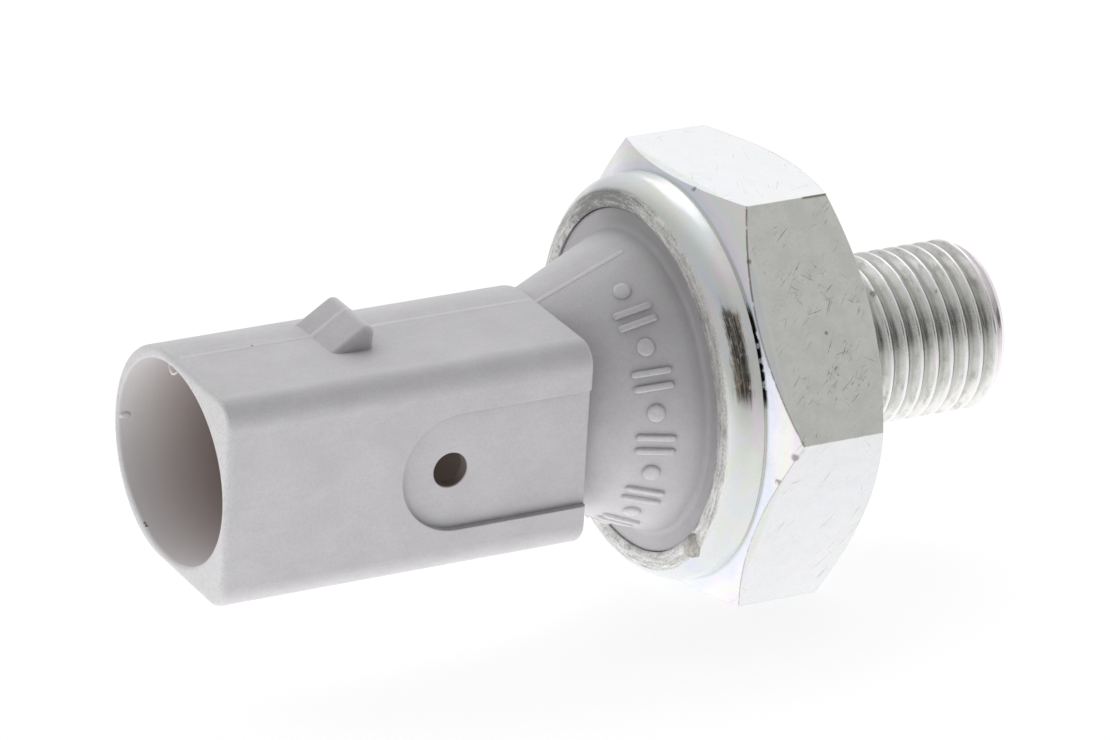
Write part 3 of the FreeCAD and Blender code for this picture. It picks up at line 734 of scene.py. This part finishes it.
def sweep(path, section):
    """Tube of a section along a path of (place, side, up) frames, closed at both ends."""
    points, faces = [], []
    count = len(section)
    for place, side, up in path:
        points += [place + side * across + up * above for across, above in section]
    for row in range(len(path) - 1):
        for column in range(count):
            after = (column + 1) % count
            faces.append((row * count + column, row * count + after,
                          (row + 1) * count + after, (row + 1) * count + column))
    faces.append(tuple(range(count)))
    faces.append(tuple(range((len(path) - 1) * count, len(path) * count)))
    return points, faces


def ellipse_outline(half_length, half_width, sides):
    return [(half_length * math.cos(math.tau * side / sides), half_width * math.sin(math.tau * side / sides))
            for side in range(sides)]


def square_outline(half):
    return [(-half, -half), (half, -half), (half, half), (-half, half)]


def make_spring(material):
    """Contact spring as a smooth wire helix, flattened with the contact's travel."""
    steps = int(spring_turns * spring_steps_per_turn)
    length = spring_top_x - spring_seat_x
    closed_pitch = spring_wire * 1.05
    open_pitch = (length - 2 * closed_turns * closed_pitch) / (spring_turns - 2 * closed_turns)
    path, x = [], spring_seat_x
    for step in range(steps + 1):
        turn = step / steps * spring_turns
        angle = math.tau * turn
        outward = Vector((0, math.cos(angle), math.sin(angle)))
        path.append((Vector((x, 0, 0)) + outward * spring_mean_radius, outward, Vector((1, 0, 0))))
        closed = turn < closed_turns or turn >= spring_turns - closed_turns
        x += (closed_pitch if closed else open_pitch) * spring_turns / steps
    section = ellipse_outline(spring_wire / 2, spring_wire / 2, wire_sides)
    points, faces = sweep(path, section)
    points = [Vector((min(spring_top_x, max(spring_seat_x, point.x)), point.y, point.z))
              for point in points]
    piece = new_piece("spring_coil", points, faces, material, 50.0)
    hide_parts("contact_spring")
    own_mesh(piece)
    return piece


def ramp_outline():
    """Rounded outline (x, z) of the latch ramp in the housing's own frame, from its foot to its back."""
    top = shroud_top + ramp_height
    top_x = ramp_back_x - ramp_crest_length
    slope = math.degrees(math.atan2(ramp_height, ramp_slope_length))
    front_x = top_x + ramp_edge_round * math.tan(math.radians(slope / 2))
    back_turn = 90 + ramp_back_lean
    rear_x = ramp_back_x - ramp_edge_round * math.tan(math.radians(back_turn / 2))
    return ([(top_x - ramp_slope_length, shroud_top)]
            + arc_points(front_x, top - ramp_edge_round, ramp_edge_round, 90 + slope, 90, 6)
            + arc_points(rear_x, top - ramp_edge_round, ramp_edge_round, 90, 90 - back_turn, 10)
            + [(ramp_back_x - ramp_edge_round * 0.3, shroud_top)])


def make_parting_line(material):
    """Fine raised line where the mould halves met: along the shroud, over the ramp and down the cone."""
    shroud_line = [(mouth_x + 0.35, shroud_top)] + ramp_outline() + [(shroud_back_x - 0.3, shroud_top)]
    cone_line = [(x, cone_radius(x)) for x in (shroud_back_x, -13.0, cone_base_x - 1.3)]
    width, height = parting_half_width, parting_height
    section = [(-width, -height), (-width, 0), (-width * 0.35, height), (width * 0.35, height),
               (width, 0), (width, -height)]
    points, faces = [], []
    for line in (shroud_line, cone_line):
        path = []
        for number, (x, z) in enumerate(line):
            before, after = line[max(0, number - 1)], line[min(len(line) - 1, number + 1)]
            along = Vector((after[0] - before[0], 0, after[1] - before[1])).normalized()
            up = housing_point(-along.z, 0, along.x)
            path.append((housing_point(x, parting_y, z), housing_point(0, 1, 0), up))
        append_mesh(points, faces, *sweep(path, section))
    return new_piece("parting_line", points, faces, material, 70.0)


def cone_frame(x, angle):
    """Place on the cone, with its directions along the cone, round it and outward."""
    radial = Vector((0, math.cos(angle), math.sin(angle)))
    along = (Vector((1, 0, 0)) + radial * cone_slope).normalized()
    outward = (radial - Vector((1, 0, 0)) * cone_slope).normalized()
    return Vector((x, 0, 0)) + radial * cone_radius(x), along, outward.cross(along), outward


def stamp(points, faces, middle, along, across, outward, outline, levels):
    """One raised mark on a surface: an outline that shrinks level by level as it rises."""
    offset, count = len(points), len(outline)
    centre = [sum(corner[axis] for corner in outline) / count for axis in (0, 1)]
    for level, share in levels:
        for a, b in outline:
            points.append(middle + along * (centre[0] + (a - centre[0]) * share)
                          + across * (centre[1] + (b - centre[1]) * share) + outward * level)
    for row in range(len(levels) - 1):
        for k in range(count):
            after = (k + 1) % count
            faces.append((offset + row * count + k, offset + row * count + after,
                          offset + (row + 1) * count + after, offset + (row + 1) * count + k))
    faces.append(tuple(offset + k for k in range(count)))
    faces.append(tuple(offset + (len(levels) - 1) * count + k for k in range(count)))


def rounded_bar(half_length, half_width, shift):
    """Outline of a straight bar with round ends, moved sideways."""
    ends = []
    for start, centre in ((-90, half_length - half_width), (90, half_width - half_length)):
        ends += [(centre + half_width * math.cos(math.radians(start + 30 * step)),
                  shift + half_width * math.sin(math.radians(start + 30 * step))) for step in range(7)]
    return ends


def make_mould_marks(material):
    """Plain raised mould marks on the camera side of the cone: round pips between pairs of bars."""
    points, faces = [], []
    pip = ellipse_outline(pip_radius, pip_radius, 24)
    bars = [rounded_bar(bar_half_length, bar_half_width, shift) for shift in (-bar_shift, bar_shift)]
    for number in range(mark_count):
        place = cone_frame(mark_middle_x, math.radians(mark_first_angle + mark_step_angle * number))
        for shape in [pip] if number % 2 == 0 else bars:
            stamp(points, faces, *place, shape, mark_levels)
    return new_piece("mould_marks", points, faces, material, 70.0)


def make_lip_burr(material):
    """Torn tab of metal, folded over on the rolled lip."""
    radial = Vector((0, math.cos(burr_angle), math.sin(burr_angle)))
    round_way = Vector((0, -radial.z, radial.y))
    middle = Vector((burr_x, 0, 0)) + radial * burr_radius
    points, faces = [], []
    stamp(points, faces, middle, round_way, radial, Vector((-1, 0, 0)), burr_outline, burr_levels)
    return new_piece("lip_burr", points, faces, material, 50.0)


def make_flash(material):
    """Ragged flash under the cone, and two scraps of it on the edge of the socket."""
    chance = random.Random(7)
    points, faces = [], []
    steps, half = flash_steps, flash_half_width
    for step in range(steps + 1):
        x = flash_first_x + (flash_last_x - flash_first_x) * step / steps
        foot = cone_radius(x)
        swell = math.sqrt(max(0.0, math.sin(math.pi * step / steps)))
        rise = swell * (flash_least_rise + flash_extra_rise * chance.random())
        lean = flash_lean * (chance.random() - 0.5)
        points += [housing_point(x, parting_y - half, -(foot - 0.1)),
                   housing_point(x, parting_y + lean - half / 2, -(foot + rise)),
                   housing_point(x, parting_y + lean + half / 2, -(foot + rise)),
                   housing_point(x, parting_y + half, -(foot - 0.1))]
    for step in range(steps):
        for k in range(4):
            after = (k + 1) % 4
            faces.append((step * 4 + k, step * 4 + after, (step + 1) * 4 + after, (step + 1) * 4 + k))
    faces += [(0, 1, 2, 3), tuple(steps * 4 + k for k in range(4))]

    up = housing_point(0, 0, 1)
    path = [(housing_point(*corner), Vector((1, 0, 0)), up) for corner in flash_tag]
    append_mesh(points, faces, *sweep(path, square_outline(flash_tag_half)))
    stamp(points, faces, housing_point(*nub_place), Vector((1, 0, 0)), up, housing_point(0, -1, 0),
          ellipse_outline(nub_half_length, nub_half_width, 16), nub_levels)
    return new_piece("mould_flash", points, faces, material, 50.0)


def paint_nodes(plastic):
    """Finishes of the pieces that keep their solid's own form."""
    brass = inner_material("stamped_brass", (0.72, 0.52, 0.22), (0.86, 0.68, 0.34), 1.0, 0.28, 3.0)
    steel = inner_material("stamped_steel", (0.50, 0.50, 0.50), (0.68, 0.68, 0.67), 1.0, 0.32, 3.0)
    tin = inner_material("tinned_brass", (0.66, 0.66, 0.64), (0.80, 0.80, 0.77), 1.0, 0.26, 3.0, 0.08)
    silver = inner_material("silver_contact", (0.84, 0.83, 0.80), (0.94, 0.94, 0.91), 1.0, 0.20, 4.0)
    film = inner_material("amber_film", (0.62, 0.30, 0.04), (0.80, 0.46, 0.10), 0.0, 0.22, 1.5, 0.03)
    rubber = inner_material("seal_rubber", (0.018, 0.018, 0.018), (0.040, 0.040, 0.040), 0.0, 0.55, 4.0)
    thermoset = inner_material("brown_thermoset", (0.07, 0.045, 0.03), (0.12, 0.08, 0.05), 0.0, 0.4, 4.0)
    finishes = {"housing": plastic, "port_seal": rubber, "housing_seal": rubber, "diaphragm_foil": film,
                "backing_foil": film, "earth_ring": steel, "thrust_piece": thermoset, "contact_plate": brass,
                "contact_buttons": silver, "spring_cup": brass, "terminal": tin}
    for name, material in finishes.items():
        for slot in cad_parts[name].material_slots:
            slot.material = material


def make_camera():
    data = bpy.data.cameras.new("camera")
    camera = bpy.data.objects.new("camera", data)
    bpy.context.scene.collection.objects.link(camera)
    right = camera_forward.cross(camera_up).normalized()
    up = right.cross(camera_forward).normalized()
    turn = Matrix((right, up, -camera_forward)).transposed()
    camera.matrix_world = Matrix.Translation(camera_place * MM) @ turn.to_4x4()
    data.sensor_fit = "HORIZONTAL"
    data.sensor_width = sensor_width
    data.lens = focal_pixels / picture_width * sensor_width
    data.clip_start, data.clip_end = 0.01, 20.0
    bpy.context.scene.camera = camera


def make_floor():
    """Pale table top that keeps the object's shadow, and glows to light the object: most strongly close to
    it, less towards the front and much less behind.
    """
    half, level = FLOOR_SIZE / 2, body_low.z * MM
    mesh = bpy.data.meshes.new("floor")
    mesh.from_pydata([(x, y, level) for x, y in square_outline(half)], [], [(0, 1, 2, 3)])
    floor = bpy.data.objects.new("floor", mesh)
    bpy.context.scene.collection.objects.link(floor)
    material, nodes = new_material("white_table")
    paper = nodes.add("ShaderNodeBsdfDiffuse", {"Color": (0.80, 0.80, 0.80, 1.0)})
    path = nodes.add("ShaderNodeLightPath", output=None)
    seen, mirrored = path.outputs["Is Camera Ray"], path.outputs["Is Glossy Ray"]
    depth = nodes.split(nodes.add("ShaderNodeTexCoord", output=3))[1]
    nearer = nodes.math("MAXIMUM", nodes.math("MULTIPLY", depth, -1 / TABLE_FADE_LENGTH), 0.0)
    fade = nodes.math("MULTIPLY_ADD", nodes.math("POWER", TABLE_FADE_BASE, nearer), 1 - TABLE_FRONT_SHARE,
                      TABLE_FRONT_SHARE)
    behind = nodes.math("MULTIPLY_ADD", mirrored, TABLE_BEHIND_MIRRORED_SHARE - TABLE_BEHIND_SHARE,
                        TABLE_BEHIND_SHARE)
    behind = nodes.range(depth, TABLE_BEHIND_START, TABLE_BEHIND_END, 1.0, behind)
    lighting = nodes.math("MULTIPLY_ADD", mirrored, TABLE_GLOW_MIRRORED - TABLE_GLOW, TABLE_GLOW)
    lighting = nodes.product(lighting, fade, behind, nodes.math("SUBTRACT", 1.0, seen))
    strength = nodes.math("MULTIPLY_ADD", seen, TABLE_GLOW_SEEN, lighting)
    glow = nodes.add("ShaderNodeEmission", {"Color": (1.0, 1.0, 1.0, 1.0), "Strength": strength})
    plain = nodes.math("MULTIPLY_ADD", mirrored, TABLE_PLAIN_MIRRORED,
                       nodes.math("MULTIPLY", seen, TABLE_PLAIN_SEEN))
    dimmed = nodes.add("ShaderNodeMixShader", {0: plain, 1: paper})
    nodes.finish(nodes.add("ShaderNodeAddShader", {0: dimmed, 1: glow}))
    mesh.materials.append(material)


def make_surroundings():
    """Studio round the object: bright behind it, grey at the sides, dark where the photographer stands."""
    world = bpy.data.worlds.new("studio")
    bpy.context.scene.world = world
    nodes = Nodes(world)
    direction = nodes.add("ShaderNodeTexCoord", output=0)
    bright, dark, soft_dark = (
        nodes.add("ShaderNodeVectorMath", {0: direction, 1: tuple(goal)}, output=1, operation="DOT_PRODUCT")
        for goal in (BRIGHT_DIRECTION, DARK_DIRECTION, SOFT_DARK_DIRECTION))
    level = nodes.math("MULTIPLY", nodes.range(bright, 0.32, 1.0, SIDE_LEVEL, SIDE_LEVEL + BRIGHT_LEVEL),
                       nodes.range(dark, 0.80, 0.97, 1.0, 1.0 - DARK_SHARE))
    low = nodes.range(nodes.split(direction)[2], 0.0, 0.6, SOFT_LOW_SHARE, 1.0)
    soft = nodes.math("MULTIPLY", low, nodes.range(soft_dark, 0.0, 0.9, SOFT_LEVEL,
                                                   SOFT_LEVEL * (1 - SOFT_DARK_SHARE)))
    path = nodes.add("ShaderNodeLightPath", output=None)
    to_soft = nodes.math("MULTIPLY", nodes.math("SUBTRACT", soft, level), path.outputs["Is Diffuse Ray"])
    level = nodes.math("MAXIMUM", nodes.math("ADD", level, to_soft), path.outputs["Is Camera Ray"])
    surround = nodes.add("ShaderNodeBackground", {"Color": (1.0, 1.0, 1.0, 1.0), "Strength": level})
    nodes.add("ShaderNodeOutputWorld", {"Surface": surround}, output=None)


def make_lamp(name, place, size, power):
    """Soft square lamp that looks at the origin."""
    data = bpy.data.lights.new(name, "AREA")
    data.shape = "SQUARE"
    data.size = size
    data.energy = power
    lamp = bpy.data.objects.new(name, data)
    bpy.context.scene.collection.objects.link(lamp)
    lamp.location = place
    lamp.rotation_mode = "QUATERNION"
    lamp.rotation_quaternion = (-Vector(place)).to_track_quat("-Z", "Y")


make_camera()
make_surroundings()
make_floor()
make_lamp("back_softbox", (0.32, 0.41, 0.47), 0.50, 0.35)
zinc = zinc_material()
plastic = plastic_material("grey_moulding", 0.11, 0.30)
# Copy of the moulding for the fine raised details, a tenth lighter as painted light, and without painted
# crease shade
highlighted_plastic = plastic_material("grey_moulding_detail_highlighted", 0.02, 0.02, 1.10, shaded=False)
paint_nodes(plastic)
make_steel_body(zinc)
make_spring(inner_material("spring_wire", (0.42, 0.42, 0.43), (0.62, 0.62, 0.62), 1.0, 0.3, 3.0))
make_parting_line(highlighted_plastic)
make_mould_marks(highlighted_plastic)
make_flash(highlighted_plastic)
make_lip_burr(inner_material("torn_zinc", (0.30, 0.28, 0.26), (0.66, 0.64, 0.61), 1.0, 0.38, 5.0))

bpy.context.scene.view_settings.view_transform = "Standard"
